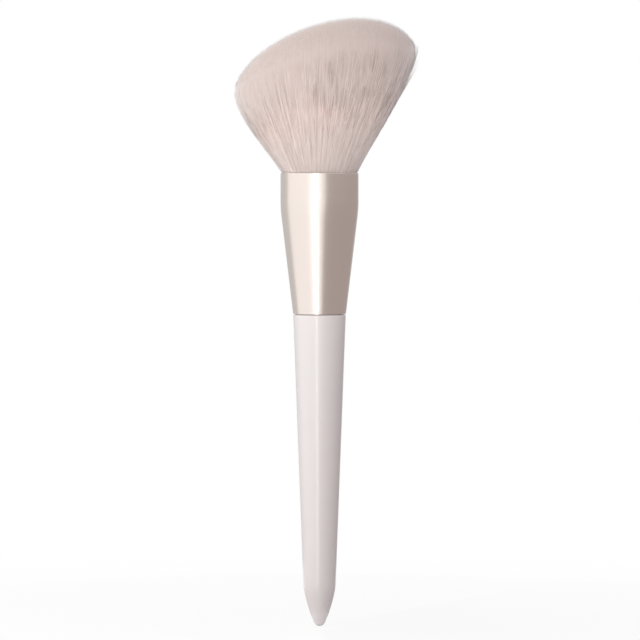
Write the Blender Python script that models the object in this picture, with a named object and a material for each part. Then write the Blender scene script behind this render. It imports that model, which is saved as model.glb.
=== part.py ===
"""A powder brush, built from its separate pieces.

A tuft of soft filaments, shaped to a slanted dome, is bound, set in resin and held in a thin metal
ferrule. The ferrule tapers down to a turned wooden handle, whose grooved tenon is glued into it.
The brush stands upright on +Z with the handle's lowest point at the origin, and the tall side of
the tuft is at +X. All lengths are in metres.
"""

import math

import bmesh
import bpy
from mathutils import Vector
from mathutils.geometry import delaunay_2d_cdt

# Handle, from its point up to the ferrule
HANDLE_LENGTH = 0.0925
HANDLE_CREASE_RADIUS = 0.00474
HANDLE_POINT_LENGTH = 0.0112
HANDLE_POINT_BULGE = 0.0003
HANDLE_NOSE_RADIUS = 0.0018
HANDLE_NOSE_ARC = math.radians(66)
HANDLE_EDGE_ROUND = 0.0004
HANDLE_STEP = 0.00006

# Tenon of the handle, which the ferrule takes
TENON_LENGTH = 0.014
TENON_CHAMFER = 0.0008
TENON_GROOVE_COUNT = 3
TENON_GROOVE_WIDTH = 0.0018
TENON_GROOVE_DEPTH = 0.0005

# Ferrule, a straight collar over a cone that narrows to the handle
FERRULE_LENGTH = 0.0415
FERRULE_MOUTH_RADIUS = 0.0115
FERRULE_TAIL_RADIUS = 0.00781
FERRULE_COLLAR_LENGTH = 0.0105
FERRULE_BLEND_RADIUS = 0.04
FERRULE_WALL = 0.0004

# Glue round the tenon, which ends below the tenon's top, and the gap that every piece keeps to its seat
SEAT_GAP = 0.0002
GLUE_THICKNESS = 0.0003
GLUE_END_GAP = 0.002

# Root of the tuft, packed into the ferrule's collar up to just below its mouth
ROOT_DEPTH = 0.0003
ROOT_THICKNESS = 0.009
ROOT_RIM = 0.0001
ROOT_FOOT_LAND = 0.001

# Thread that binds the root, wound in a groove round it
THREAD_RADIUS = 0.00026
THREAD_TURN_GAP = 0.00048
THREAD_TURNS = 3

# Resin that holds the root in the ferrule, hollowed where it set
RESIN_DEPTH = 0.007
RESIN_HOLLOW = 0.0012

# Tuft above the ferrule's mouth: its low side is at -X and its high side at +X
TUFT_LOW_REACH = 0.0255
TUFT_HIGH_REACH = 0.0289
TUFT_HALF_DEPTH = 0.02
LOW_SHOULDER_HEIGHT = 0.0227
HIGH_SHOULDER_HEIGHT = 0.0357
FRONT_SHOULDER_RISE = 0.0075
DOME_HEIGHT = 0.0156
HIGH_SIDE_FALL_SHARE = 0.25

# Filaments: how they fan out, and the rings that each one is skinned over
FILAMENT_COUNT = 370
FILAMENT_SIDES = 3
FILAMENT_FOOT_SHARE = 0.80
FILAMENT_BELLY_SHARE = 0.65
FILAMENT_RING_SHARES = ((0.0, 0.84), (0.45, 0.92), (0.86, 1.0))
GOLDEN_ANGLE = math.pi * (3 - math.sqrt(5))

# Fineness of the meshes
TURNED_SIDES = 48
ROUND_STEPS = 5
BORE_STEPS = 6
POINT_STEPS = 8
COIL_STEPS = 24
WELD = 0.000001
SHARP_ANGLE = math.radians(35)

# Colours, as sRGB hex values, and how rough each surface is
HANDLE_COLOUR = "E3DCDA"
HANDLE_ROUGHNESS = 0.3
FERRULE_COLOUR = "DCC9B8"
FERRULE_ROUGHNESS = 0.25
GLUE_COLOUR = "EFE9D8"
GLUE_ROUGHNESS = 0.5
RESIN_COLOUR = "E8DFC8"
RESIN_ROUGHNESS = 0.2
THREAD_COLOUR = "F2EEE8"
THREAD_ROUGHNESS = 0.8
FILAMENT_COLOUR = "D6C2BA"
FILAMENT_ROUGHNESS = 0.7

# Heights and radii that follow from the sizes above
TAIL_HEIGHT = HANDLE_LENGTH
MOUTH_HEIGHT = TAIL_HEIGHT + FERRULE_LENGTH
KINK_HEIGHT = MOUTH_HEIGHT - FERRULE_COLLAR_LENGTH
CONE_SLOPE = (FERRULE_MOUTH_RADIUS - FERRULE_TAIL_RADIUS) / (KINK_HEIGHT - TAIL_HEIGHT)
BLEND_TOP = KINK_HEIGHT + FERRULE_BLEND_RADIUS * math.tan(math.atan(CONE_SLOPE) / 2)
BLEND_DROP = FERRULE_BLEND_RADIUS * math.sin(math.atan(CONE_SLOPE))
HANDLE_TOP_RADIUS = FERRULE_TAIL_RADIUS - HANDLE_STEP
TENON_RADIUS = FERRULE_TAIL_RADIUS - FERRULE_WALL - GLUE_THICKNESS - 2 * SEAT_GAP
GLUE_LENGTH = TENON_LENGTH - GLUE_END_GAP
GROOVE_PITCH = GLUE_LENGTH / TENON_GROOVE_COUNT
THREAD_PITCH = 2 * THREAD_RADIUS + THREAD_TURN_GAP
BINDING_DEPTH = 2 * THREAD_RADIUS + SEAT_GAP
BINDING_WIDTH = THREAD_TURNS * THREAD_PITCH + 2 * (THREAD_RADIUS + SEAT_GAP)
ROOT_TOP = MOUTH_HEIGHT - ROOT_DEPTH
ROOT_BOTTOM = ROOT_TOP - ROOT_THICKNESS
BINDING_MIDDLE = ROOT_BOTTOM + ROOT_FOOT_LAND + BINDING_WIDTH / 2
TUFT_CENTRE = (TUFT_HIGH_REACH - TUFT_LOW_REACH) / 2
TUFT_HALF_WIDTH = (TUFT_HIGH_REACH + TUFT_LOW_REACH) / 2
SHOULDER_SLOPE = (HIGH_SHOULDER_HEIGHT - LOW_SHOULDER_HEIGHT) / (2 * TUFT_HALF_WIDTH)
DOME_FOOT = MOUTH_HEIGHT + (LOW_SHOULDER_HEIGHT + HIGH_SHOULDER_HEIGHT) / 2


def clear_scene():
    """Removes every object of the open scene."""
    for item in list(bpy.data.objects):
        bpy.data.objects.remove(item)


def linear(channel):
    """One sRGB channel, from 0 to 1, as linear light."""
    if channel <= 0.04045:
        return channel / 12.92
    return ((channel + 0.055) / 1.055) ** 2.4


def finish(name, hex_colour, roughness, metallic=0.0):
    """A material with one Principled shader."""
    material = bpy.data.materials.new(name)
    material.use_nodes = True
    shader = material.node_tree.nodes["Principled BSDF"]
    channels = [int(hex_colour[at : at + 2], 16) / 255 for at in (0, 2, 4)]
    shader.inputs["Base Color"].default_value = (*map(linear, channels), 1.0)
    shader.inputs["Roughness"].default_value = roughness
    shader.inputs["Metallic"].default_value = metallic
    return material


def place(name, data, material):
    """Puts mesh or curve data into the scene as one named piece."""
    data.materials.append(material)
    piece = bpy.data.objects.new(name, data)
    bpy.context.scene.collection.objects.link(piece)
    return piece


def place_bmesh(name, bm, material):
    """Closes a bmesh into a named piece, smooth but for its sharp edges."""
    bmesh.ops.remove_doubles(bm, verts=bm.verts, dist=WELD)
    bmesh.ops.recalc_face_normals(bm, faces=bm.faces)
    mesh = bpy.data.meshes.new(name)
    bm.to_mesh(mesh)
    bm.free()
    mesh.shade_smooth()
    mesh.set_sharp_from_angle(angle=SHARP_ANGLE)
    return place(name, mesh, material)


def turned(name, outline, material):
    """Spins an outline of (radius, height) points about the Z axis.

    An outline that starts on the axis ends on it too, and any other one is a closed loop.
    """
    bm = bmesh.new()
    points = [bm.verts.new((radius, 0.0, height)) for radius, height in outline]
    if outline[0][0] > 0:
        points.append(points[0])
    for first, second in zip(points, points[1:]):
        bm.edges.new((first, second))
    bmesh.ops.spin(
        bm,
        geom=bm.verts[:] + bm.edges[:],
        cent=(0, 0, 0),
        axis=(0, 0, 1),
        angle=2 * math.pi,
        steps=TURNED_SIDES,
        use_merge=True,
    )
    return place_bmesh(name, bm, material)


def arc(centre, radius, start, end):
    """Points of an arc about a (radius, height) centre, its two ends among them."""
    turns = [start + (end - start) * step / ROUND_STEPS for step in range(ROUND_STEPS + 1)]
    return [(centre[0] + radius * math.cos(turn), centre[1] + radius * math.sin(turn)) for turn in turns]


def ferrule_radius(height):
    """The ferrule's outer radius at a height: a cone, a tangent blend and a straight collar."""
    drop = BLEND_TOP - height
    if drop <= 0:
        return FERRULE_MOUTH_RADIUS
    if drop <= BLEND_DROP:
        blend_centre = FERRULE_MOUTH_RADIUS - FERRULE_BLEND_RADIUS
        return blend_centre + math.sqrt(FERRULE_BLEND_RADIUS**2 - drop**2)
    return FERRULE_MOUTH_RADIUS - CONE_SLOPE * (KINK_HEIGHT - height)


def bore_side(low, high, clearance):
    """Points up the ferrule's bore between two heights, drawn in by a clearance."""
    heights = [low + (high - low) * step / BORE_STEPS for step in range(BORE_STEPS + 1)]
    return [(ferrule_radius(height) - FERRULE_WALL - clearance, height) for height in heights]


def tenon_side(clearance):
    """Points up the grooved tenon, or up the glue's inner face when a clearance is given."""
    radius = TENON_RADIUS + clearance
    points = []
    for index in range(TENON_GROOVE_COUNT):
        low = TAIL_HEIGHT + (index + 0.5) * GROOVE_PITCH - TENON_GROOVE_WIDTH / 2
        high = low + TENON_GROOVE_WIDTH
        points += [
            (radius, low),
            (radius - TENON_GROOVE_DEPTH, low + TENON_GROOVE_DEPTH),
            (radius - TENON_GROOVE_DEPTH, high - TENON_GROOVE_DEPTH),
            (radius, high),
        ]
    return points


def build_handle(material):
    """The handle: a blunt point, a crease, a long taper, a shoulder and a grooved tenon."""
    nose_centre = (0.0, HANDLE_NOSE_RADIUS)
    down = -math.pi / 2
    outline = [(0.0, 0.0), *arc(nose_centre, HANDLE_NOSE_RADIUS, down, down + HANDLE_NOSE_ARC)[1:]]
    start = Vector(outline[-1])
    crease = Vector((HANDLE_CREASE_RADIUS, HANDLE_POINT_LENGTH))
    outward = Vector((crease.y - start.y, start.x - crease.x)).normalized()
    for step in range(1, POINT_STEPS):
        share = step / POINT_STEPS
        bulge = 4 * HANDLE_POINT_BULGE * share * (1 - share)
        outline.append(tuple(start.lerp(crease, share) + outward * bulge))
    outline.append(tuple(crease))
    shoulder = TAIL_HEIGHT - SEAT_GAP
    edge_centre = (HANDLE_TOP_RADIUS - HANDLE_EDGE_ROUND, shoulder - HANDLE_EDGE_ROUND)
    outline += arc(edge_centre, HANDLE_EDGE_ROUND, 0.0, math.pi / 2)
    outline.append((TENON_RADIUS, shoulder))
    outline += tenon_side(0.0)
    tenon_top = TAIL_HEIGHT + TENON_LENGTH
    outline += [
        (TENON_RADIUS, tenon_top - TENON_CHAMFER),
        (TENON_RADIUS - TENON_CHAMFER, tenon_top),
        (0.0, tenon_top),
    ]
    return turned("handle", outline, material)


def build_ferrule(material):
    """The ferrule: one thin wall with rounded edges, straight at its mouth and tapered below."""
    half_wall = FERRULE_WALL / 2
    low, high = TAIL_HEIGHT + half_wall, MOUTH_HEIGHT - half_wall
    blend = [BLEND_TOP - BLEND_DROP * (1 - step / BORE_STEPS) for step in range(BORE_STEPS + 1)]
    heights = [low, *blend, high]
    outer = [(ferrule_radius(height), height) for height in heights]
    inner = [(radius - FERRULE_WALL, height) for radius, height in reversed(outer)]
    mouth_centre = (outer[-1][0] - half_wall, high)
    tail_centre = (outer[0][0] - half_wall, low)
    outline = outer + arc(mouth_centre, half_wall, 0.0, math.pi)[1:-1]
    outline += inner + arc(tail_centre, half_wall, math.pi, 2 * math.pi)[1:-1]
    return turned("ferrule", outline, material)


def build_tenon_glue(material):
    """The glue that fills the wedge between the tenon and the widening bore."""
    low = TAIL_HEIGHT + SEAT_GAP
    high = TAIL_HEIGHT + GLUE_LENGTH
    inner = [(TENON_RADIUS + SEAT_GAP, low), *tenon_side(SEAT_GAP), (TENON_RADIUS + SEAT_GAP, high)]
    outer = bore_side(low, high, SEAT_GAP)
    return turned("tenon_glue", outer + inner[::-1], material)


def build_root_resin(material):
    """The resin poured in behind the tuft, with the hollow that it sets to."""
    high = ROOT_BOTTOM - SEAT_GAP
    low = high - RESIN_DEPTH
    side = bore_side(low, high, SEAT_GAP)
    rim = side[0][0]
    hollow = []
    for step in range(ROUND_STEPS):
        share = step / ROUND_STEPS
        hollow.append((rim * share, low + RESIN_HOLLOW * (1 - share**2)))
    return turned("root_resin", [*hollow, *side, (0.0, high)], material)


def root_radius():
    """The root's radius, clear of the bore at the root's lowest point, where the bore is narrowest."""
    return bore_side(ROOT_BOTTOM, ROOT_TOP, SEAT_GAP)[0][0]


def build_root_binding(material):
    """The thread wound round the root, as one unbroken tube with straight ends."""
    radius = root_radius() - THREAD_RADIUS
    points = []
    for step in range(THREAD_TURNS * COIL_STEPS + 1):
        turn = step / COIL_STEPS
        angle = 2 * math.pi * turn
        height = BINDING_MIDDLE + THREAD_PITCH * (turn - THREAD_TURNS / 2)
        points.append(Vector((radius * math.cos(angle), radius * math.sin(angle), height)))
    run_in = Vector((0.0, -2 * THREAD_RADIUS, 0.0))
    points = [points[0] + run_in, *points, points[-1] - run_in]
    apart = min(
        (first - second).length
        for at, first in enumerate(points)
        for second in points[at + COIL_STEPS // 2 :]
    )
    print(f"root_binding: least gap to itself {1000 * (apart - 2 * THREAD_RADIUS):.2f} mm")
    curve = bpy.data.curves.new("root_binding", "CURVE")
    curve.dimensions = "3D"
    curve.bevel_depth = THREAD_RADIUS
    curve.bevel_resolution = 1
    curve.use_fill_caps = True
    spline = curve.splines.new("POLY")
    spline.points.add(len(points) - 1)
    for target, point in zip(spline.points, points):
        target.co = (*point, 1.0)
    return place("root_binding", curve, material)


def tip_point(u, v):
    """Where a filament ends on the slanted dome, for a root at (u, v) in the unit disc.

    The root's distance from the middle is carried on to the dome by equal areas, so that the ends
    are spread evenly over it.
    """
    reach = math.hypot(u, v)
    spread = math.sqrt(2 - reach**2)
    sideways = TUFT_HALF_WIDTH * spread * u
    crown = (1 - reach**2) ** (1 + HIGH_SIDE_FALL_SHARE * max(u, 0.0))
    height = DOME_FOOT + SHOULDER_SLOPE * sideways + DOME_HEIGHT * crown + FRONT_SHOULDER_RISE * v**2
    return Vector((TUFT_CENTRE + sideways, TUFT_HALF_DEPTH * spread * v, height))


def filament_point(u, v, radius, share):
    """A point on the filament rooted at (u, v), at a share of its height above the root.

    A filament leans out early and ends more upright, which gives the tuft's flanks their belly.
    """
    foot = Vector((radius * u, radius * v, ROOT_TOP))
    tip = tip_point(u, v)
    fan = share + FILAMENT_BELLY_SHARE * share**2 * (1 - share)
    return Vector((*foot.xy.lerp(tip.xy, fan), foot.z + (tip.z - foot.z) * share))


def filament_feet():
    """For each filament, the corners of its footprint in the unit disc, and their middle."""
    foot_size = FILAMENT_FOOT_SHARE / math.sqrt(FILAMENT_COUNT)
    feet = []
    for index in range(FILAMENT_COUNT):
        reach = (1 - foot_size) * math.sqrt((index + 0.5) / FILAMENT_COUNT)
        turn = index * GOLDEN_ANGLE
        middle = Vector((reach * math.cos(turn), reach * math.sin(turn)))
        corners = []
        for side in range(FILAMENT_SIDES):
            corner_turn = turn + 2 * math.pi * side / FILAMENT_SIDES
            corners.append(foot_size * Vector((math.cos(corner_turn), math.sin(corner_turn))))
        feet.append((middle, corners))
    return feet


def skin(bm, lower, upper):
    """Joins two rings of vertices, which have as many each, with a band of faces."""
    for at, corner in enumerate(lower):
        after = (at + 1) % len(lower)
        bm.faces.new((corner, lower[after], upper[after], upper[at]))


def ring(bm, radius, height):
    """A level ring of vertices about the Z axis."""
    turns = [2 * math.pi * side / TURNED_SIDES for side in range(TURNED_SIDES)]
    return [bm.verts.new((radius * math.cos(turn), radius * math.sin(turn), height)) for turn in turns]


def add_filament(bm, middle, corners, radius):
    """Skins one filament from the root's top face to its tip, and returns its lowest ring."""
    rings = []
    for share, width in FILAMENT_RING_SHARES:
        spots = [middle + corner * width for corner in corners]
        rings.append([bm.verts.new(filament_point(*spot, radius, share)) for spot in spots])
    for lower, upper in zip(rings, rings[1:]):
        skin(bm, lower, upper)
    tip = bm.verts.new(tip_point(middle.x, middle.y))
    for first, second in zip(rings[-1], rings[-1][1:] + rings[-1][:1]):
        bm.faces.new((first, second, tip))
    return rings[0]


def build_bristle_tuft(material):
    """The filaments of the tuft, fused to the slab of resin and hair that is its root."""
    bm = bmesh.new()
    root = root_radius()
    neck = root - BINDING_DEPTH
    side = [
        (root, ROOT_TOP),
        (root, BINDING_MIDDLE + BINDING_WIDTH / 2),
        (neck, BINDING_MIDDLE + BINDING_WIDTH / 2),
        (neck, BINDING_MIDDLE - BINDING_WIDTH / 2),
        (root, BINDING_MIDDLE - BINDING_WIDTH / 2),
        (root, ROOT_BOTTOM),
    ]
    rings = [ring(bm, radius, height) for radius, height in side]
    for upper, lower in zip(rings, rings[1:]):
        skin(bm, lower, upper)
    bm.faces.new(rings[-1])

    feet = [add_filament(bm, spot, corners, root - ROOT_RIM) for spot, corners in filament_feet()]
    loops = [rings[0], *feet]
    corners = [corner for loop in loops for corner in loop]
    owner = [number for number, loop in enumerate(loops) for _ in loop]
    place_of = {corner: at for at, corner in enumerate(corners)}
    edges = []
    for loop in loops:
        for first, second in zip(loop, loop[1:] + loop[:1]):
            edges.append((place_of[first], place_of[second]))
    flat = [corner.co.xy for corner in corners]
    faces = delaunay_2d_cdt(flat, edges, [], 1, WELD)[2]
    for face in faces:
        owners = {owner[at] for at in face}
        if len(owners) > 1 or owners == {0}:
            bm.faces.new([corners[at] for at in face])
    return place_bmesh("bristle_tuft", bm, material)


def main():
    """Builds every piece of the brush, each where it sits in the assembled product."""
    clear_scene()
    build_handle(finish("lacquered_wood", HANDLE_COLOUR, HANDLE_ROUGHNESS))
    build_ferrule(finish("anodised_aluminium", FERRULE_COLOUR, FERRULE_ROUGHNESS, metallic=1.0))
    build_tenon_glue(finish("wood_glue", GLUE_COLOUR, GLUE_ROUGHNESS))
    build_root_resin(finish("epoxy_resin", RESIN_COLOUR, RESIN_ROUGHNESS))
    build_root_binding(finish("binding_thread", THREAD_COLOUR, THREAD_ROUGHNESS))
    build_bristle_tuft(finish("synthetic_filament", FILAMENT_COLOUR, FILAMENT_ROUGHNESS))


main()
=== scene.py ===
"""A powder brush as it looks, dressed round its packed construction.

The tuft is many thousands of fine filaments, fanned out of the ferrule to a slanted dome. The
ferrule is satin anodised aluminium and the handle is lacquered beech. The light is a tent, white
at the camera's left and grey at its right, which gives the metal its bands, with three small
softboxes on the tuft. All lengths are in metres, and MM turns a size in millimetres into one.
"""

import logging
import math
from dataclasses import dataclass
from enum import Enum
from typing import Any, Iterable, Sequence

import bpy
import numpy as np
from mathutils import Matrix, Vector


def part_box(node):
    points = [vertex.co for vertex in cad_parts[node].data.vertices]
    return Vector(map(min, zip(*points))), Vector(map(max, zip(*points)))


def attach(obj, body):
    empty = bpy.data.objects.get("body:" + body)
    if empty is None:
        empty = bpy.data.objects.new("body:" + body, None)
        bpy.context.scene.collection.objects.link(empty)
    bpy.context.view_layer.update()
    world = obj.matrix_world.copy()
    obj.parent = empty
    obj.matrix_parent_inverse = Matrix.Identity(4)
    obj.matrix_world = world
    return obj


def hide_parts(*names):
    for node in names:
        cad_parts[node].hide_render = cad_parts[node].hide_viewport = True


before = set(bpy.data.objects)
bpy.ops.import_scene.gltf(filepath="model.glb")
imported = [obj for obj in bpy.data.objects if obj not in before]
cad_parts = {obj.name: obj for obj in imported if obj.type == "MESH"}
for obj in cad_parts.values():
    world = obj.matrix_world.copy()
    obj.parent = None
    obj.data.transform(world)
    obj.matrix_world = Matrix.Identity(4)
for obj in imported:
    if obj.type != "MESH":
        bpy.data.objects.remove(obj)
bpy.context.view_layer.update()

LOG = logging.getLogger("powder_brush")
MM = 0.001
BAKE_MAP = "OFBake"
BODY = "root"
WHITE = "FFFFFF"

# How the construction's pieces seat: their clearance, the ferrule's step over the handle, the glue's
# thickness and how far the root stays below the ferrule's mouth
SEAT_GAP = 0.2 * MM
HANDLE_STEP = 0.06 * MM
GLUE_THICKNESS = 0.3 * MM
ROOT_DEPTH = 0.3 * MM

Span = tuple[float, float]
Outline = list[tuple[float, float]]
Stops = tuple[tuple[float, str], ...]
Colour = tuple[float, float, float, float]


def linear(hex_colour: str) -> Colour:
    """Turns an sRGB hex colour into linear light.

    Args:
        hex_colour: Six hex digits, such as "E3DCDA".

    Returns:
        Linear red, green and blue from 0 to 1, and an alpha of 1.
    """
    channels = []
    for at in (0, 2, 4):
        value = int(hex_colour[at : at + 2], 16) / 255
        channels.append(value / 12.92 if value <= 0.04045 else ((value + 0.055) / 1.055) ** 2.4)
    return (channels[0], channels[1], channels[2], 1.0)


def set_inputs(tree: bpy.types.NodeTree, node: bpy.types.Node, inputs: dict[Any, Any]) -> None:
    """Sets a node's inputs, each to a value or a link.

    Args:
        tree: The node tree that holds the node.
        node: The node.
        inputs: An input's name or number, with its value or with what feeds it, which is a socket
            or a node that stands for its own first output.
    """
    for key, value in inputs.items():
        source = value.outputs[0] if isinstance(value, bpy.types.Node) else value
        if isinstance(source, bpy.types.NodeSocket):
            tree.links.new(source, node.inputs[key])
        else:
            node.inputs[key].default_value = source


def add_node(
    tree: bpy.types.NodeTree,
    kind: str,
    inputs: dict[Any, Any] | None = None,
    stops: Stops = (),
    **settings: Any,
) -> bpy.types.Node:
    """Adds a node with its settings, its values and its incoming links.

    Args:
        tree: The node tree that takes the node.
        kind: The node's type without its prefix, such as "TexNoise".
        inputs: What goes into the node, as set_inputs takes it.
        stops: A colour ramp's stops, each with its position from 0 to 1 and its sRGB hex colour.
        **settings: The node's own properties.

    Returns:
        The new node.
    """
    node = tree.nodes.new("ShaderNode" + kind)
    for name, value in settings.items():
        setattr(node, name, value)
    set_inputs(tree, node, inputs or {})
    if stops:
        elements = node.color_ramp.elements
        while len(elements) < len(stops):
            elements.new(1.0)
        for element, (position, hex_colour) in zip(elements, stops):
            element.position = position
            element.color = linear(hex_colour)
    return node


def start_material(name: str) -> tuple[bpy.types.Material, bpy.types.NodeTree, bpy.types.Node]:
    """Makes a material with one Principled shader.

    Args:
        name: The finish's common name.

    Returns:
        The material, its node tree and its shader.
    """
    material = bpy.data.materials.new(name)
    material.use_nodes = True
    tree = material.node_tree
    return material, tree, tree.nodes["Principled BSDF"]


@dataclass(frozen=True)
class LacqueredBeech:
    """Beech, sanded, primed and dipped in pale pinkish white lacquer, which hides its grain.

    The eye sees a smooth milky colour under a clear, hard gloss, with a faint orange peel.
    """

    tones: Stops = ((0.3, "DCD6D4"), (0.7, "DED5D3"))
    roughness: float = 0.32
    coat: float = 1.0
    coat_roughness: float = 0.07
    mottle_size: float = 9 * MM
    peel_size: float = 1.6 * MM
    peel_height: float = 0.004 * MM

    def material(self) -> bpy.types.Material:
        """Builds the node tree.

        Returns:
            The material.
        """
        material, tree, shader = start_material("lacquered_beech")
        place = add_node(tree, "TexCoord").outputs["Object"]
        mottle = add_node(tree, "TexNoise", {"Vector": place, "Scale": 1 / self.mottle_size, "Detail": 3.0})
        colour = add_node(tree, "ValToRGB", {"Fac": mottle}, self.tones)
        peel = add_node(tree, "TexNoise", {"Vector": place, "Scale": 1 / self.peel_size, "Detail": 1.0})
        bump = add_node(tree, "Bump", {"Height": peel, "Distance": self.peel_height, "Strength": 1.0})
        gloss = {"Coat Weight": self.coat, "Coat Roughness": self.coat_roughness}
        set_inputs(tree, shader, {"Base Color": colour, "Roughness": self.roughness, "Normal": bump, **gloss})
        return material


@dataclass(frozen=True)
class AnodisedAluminium:
    """Deep-drawn aluminium, blasted fine and anodised a pale champagne.

    The eye sees a satin metal that smears what it reflects into soft bands, with a fine spun grain.
    """

    tones: Stops = ((0.3, "EFE3DC"), (0.7, "F0E5DE"))
    roughness: float = 0.27
    roughness_spread: float = 0.01
    # The real grain is about 0.05 mm, and is drawn coarser so that it shows
    grain_size: float = 0.35 * MM
    grain_stretch: float = 40.0
    grain_height: float = 0.00004 * MM
    cloud_size: float = 12 * MM

    def material(self) -> bpy.types.Material:
        """Builds the node tree.

        Returns:
            The material.
        """
        material, tree, shader = start_material("anodised_aluminium")
        place = add_node(tree, "TexCoord").outputs["Object"]
        squeeze = (1 / self.grain_stretch, 1 / self.grain_stretch, 1.0)
        rings = add_node(tree, "Mapping", {"Vector": place, "Scale": squeeze})
        grain = add_node(tree, "TexNoise", {"Vector": rings, "Scale": 1 / self.grain_size, "Detail": 2.0})
        colour = add_node(tree, "ValToRGB", {"Fac": grain}, self.tones)
        clouds = add_node(tree, "TexNoise", {"Vector": place, "Scale": 1 / self.cloud_size, "Detail": 1.0})
        low, high = self.roughness - self.roughness_spread, self.roughness + self.roughness_spread
        rough = add_node(tree, "MapRange", {"Value": clouds, "To Min": low, "To Max": high})
        bump = add_node(tree, "Bump", {"Height": grain, "Distance": self.grain_height, "Strength": 1.0})
        set_inputs(tree, shader, {"Base Color": colour, "Metallic": 1.0, "Roughness": rough, "Normal": bump})
        return material


@dataclass(frozen=True)
class PbtFilament:
    """Spun PBT filament, dyed a pale pinkish beige, waved and ground to a soft point.

    The eye sees a matt, powdery mass in which single hairs stand a little lighter or darker. A
    hair's map has its tone on the first axis, and runs from root to point on the second. The
    packed mass under the hairs is the same filament darkened with painted shade.
    """

    hair_tones: Stops = ((0.0, "8A756E"), (0.5, "F0DFD8"), (1.0, "FDF3EE"))
    # Painted shade: the tints darken each hair a little towards its middle, to match the packed mass
    hair_shade_tints: Stops = ((0.0, WHITE), (0.5, "FCF6F4"), (1.0, WHITE))
    fleck_tints: Stops = ((0.3, "EFE9E7"), (0.42, WHITE))
    # Painted shade: the packed mass is the filament darkened for the shade among the hairs over it, and its
    # tints darken it further above the root
    packed_shaded_tones: Stops = ((0.0, "D3C1BA"), (0.5, "EFDCD5"), (1.0, "F8E7E0"))
    packed_shade_tints: Stops = ((0.2, "E0DEDD"), (0.42, "CFCDCC"))
    roughness: float = 0.6
    specular: float = 0.3
    sheen: float = 0.8
    # The longest hairs are about 49 mm. The columns lie along the tone, which is no length, and give
    # hairs of unlike tone flecks of their own
    hair_length: float = 49 * MM
    fleck_length: float = 7 * MM
    fleck_columns: float = 160.0
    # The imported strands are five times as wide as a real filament, so that they show, and fade out
    # towards the crown
    strand_width: float = 0.45 * MM
    strand_length: float = 9 * MM
    strand_height: float = 0.03 * MM
    crown_span: Span = (0.5, 0.7)
    crown_relief: float = 0.1

    def surface(self, colour: bpy.types.Node) -> dict[str, Any]:
        """What the shader takes on every hair.

        Args:
            colour: The node that gives the colour.

        Returns:
            The shader's inputs.
        """
        shine = {"Specular IOR Level": self.specular, "Sheen Weight": self.sheen}
        return {"Base Color": colour, "Roughness": self.roughness, **shine}

    def packed_shaded_material(self, girth: float, run: float) -> bpy.types.Material:
        """Builds the finish of hairs that lie packed side by side under the loose ones, darkened with
        painted shade for the shade among them, darker above the root than at it.

        Args:
            girth: The real length that the map's first axis spans, round the tuft.
            run: The real length that its second axis spans, from root to crown.

        Returns:
            The material.
        """
        material, tree, shader = start_material("packed_pbt_filament_shaded")
        place = add_node(tree, "UVMap", uv_map=BAKE_MAP)
        along = add_node(tree, "SeparateXYZ", {"Vector": place}).outputs["Y"]
        scale = (girth / self.strand_width, run / self.strand_length, 1.0)
        squeezed = add_node(tree, "Mapping", {"Vector": place, "Scale": scale})
        strands = add_node(tree, "TexNoise", {"Vector": squeezed, "Scale": 1.0, "Detail": 2.0})
        crown = {"Value": along, "From Min": self.crown_span[0], "From Max": self.crown_span[1]}
        calm = add_node(tree, "MapRange", {**crown, "To Min": 1.0, "To Max": self.crown_relief})
        relief = add_node(tree, "Math", {0: strands, 1: 0.5}, operation="SUBTRACT")
        relief = add_node(tree, "Math", {0: relief, 1: calm, 2: 0.5}, operation="MULTIPLY_ADD")
        tone = add_node(tree, "ValToRGB", {"Fac": relief}, self.packed_shaded_tones)
        tint = add_node(tree, "ValToRGB", {"Fac": along}, self.packed_shade_tints)
        colour = add_node(tree, "VectorMath", {0: tone, 1: tint}, operation="MULTIPLY")
        bump = add_node(tree, "Bump", {"Height": relief, "Distance": self.strand_height, "Strength": 1.0})
        set_inputs(tree, shader, {**self.surface(colour), "Normal": bump})
        return material

    def material(self) -> bpy.types.Material:
        """Builds the finish of single hairs.

        Returns:
            The material.
        """
        material, tree, shader = start_material("pbt_filament")
        place = add_node(tree, "UVMap", uv_map=BAKE_MAP)
        axes = add_node(tree, "SeparateXYZ", {"Vector": place})
        tone = add_node(tree, "ValToRGB", {"Fac": axes.outputs["X"]}, self.hair_tones)
        tint = add_node(tree, "ValToRGB", {"Fac": axes.outputs["Y"]}, self.hair_shade_tints)
        scale = (self.fleck_columns, self.hair_length / self.fleck_length, 1.0)
        stretched = add_node(tree, "Mapping", {"Vector": place, "Scale": scale})
        patches = add_node(tree, "TexNoise", {"Vector": stretched, "Scale": 1.0, "Detail": 1.0})
        fleck = add_node(tree, "ValToRGB", {"Fac": patches}, self.fleck_tints)
        tinted = add_node(tree, "VectorMath", {0: tone, 1: tint}, operation="MULTIPLY")
        flecked = add_node(tree, "VectorMath", {0: tinted, 1: fleck}, operation="MULTIPLY")
        set_inputs(tree, shader, self.surface(flecked))
        return material


@dataclass(frozen=True)
class CuredAdhesive:
    """A set glue or resin: glassy or waxy, with fine trapped bubbles that show as pale specks."""

    name: str
    tones: Stops
    roughness: float
    speck_spacing: float

    def material(self) -> bpy.types.Material:
        """Builds the node tree.

        Returns:
            The material.
        """
        material, tree, shader = start_material(self.name)
        place = add_node(tree, "TexCoord").outputs["Object"]
        specks = add_node(tree, "TexVoronoi", {"Vector": place, "Scale": 1 / self.speck_spacing})
        colour = add_node(tree, "ValToRGB", {"Fac": specks}, self.tones)
        set_inputs(tree, shader, {"Base Color": colour, "Roughness": self.roughness})
        return material


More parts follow.
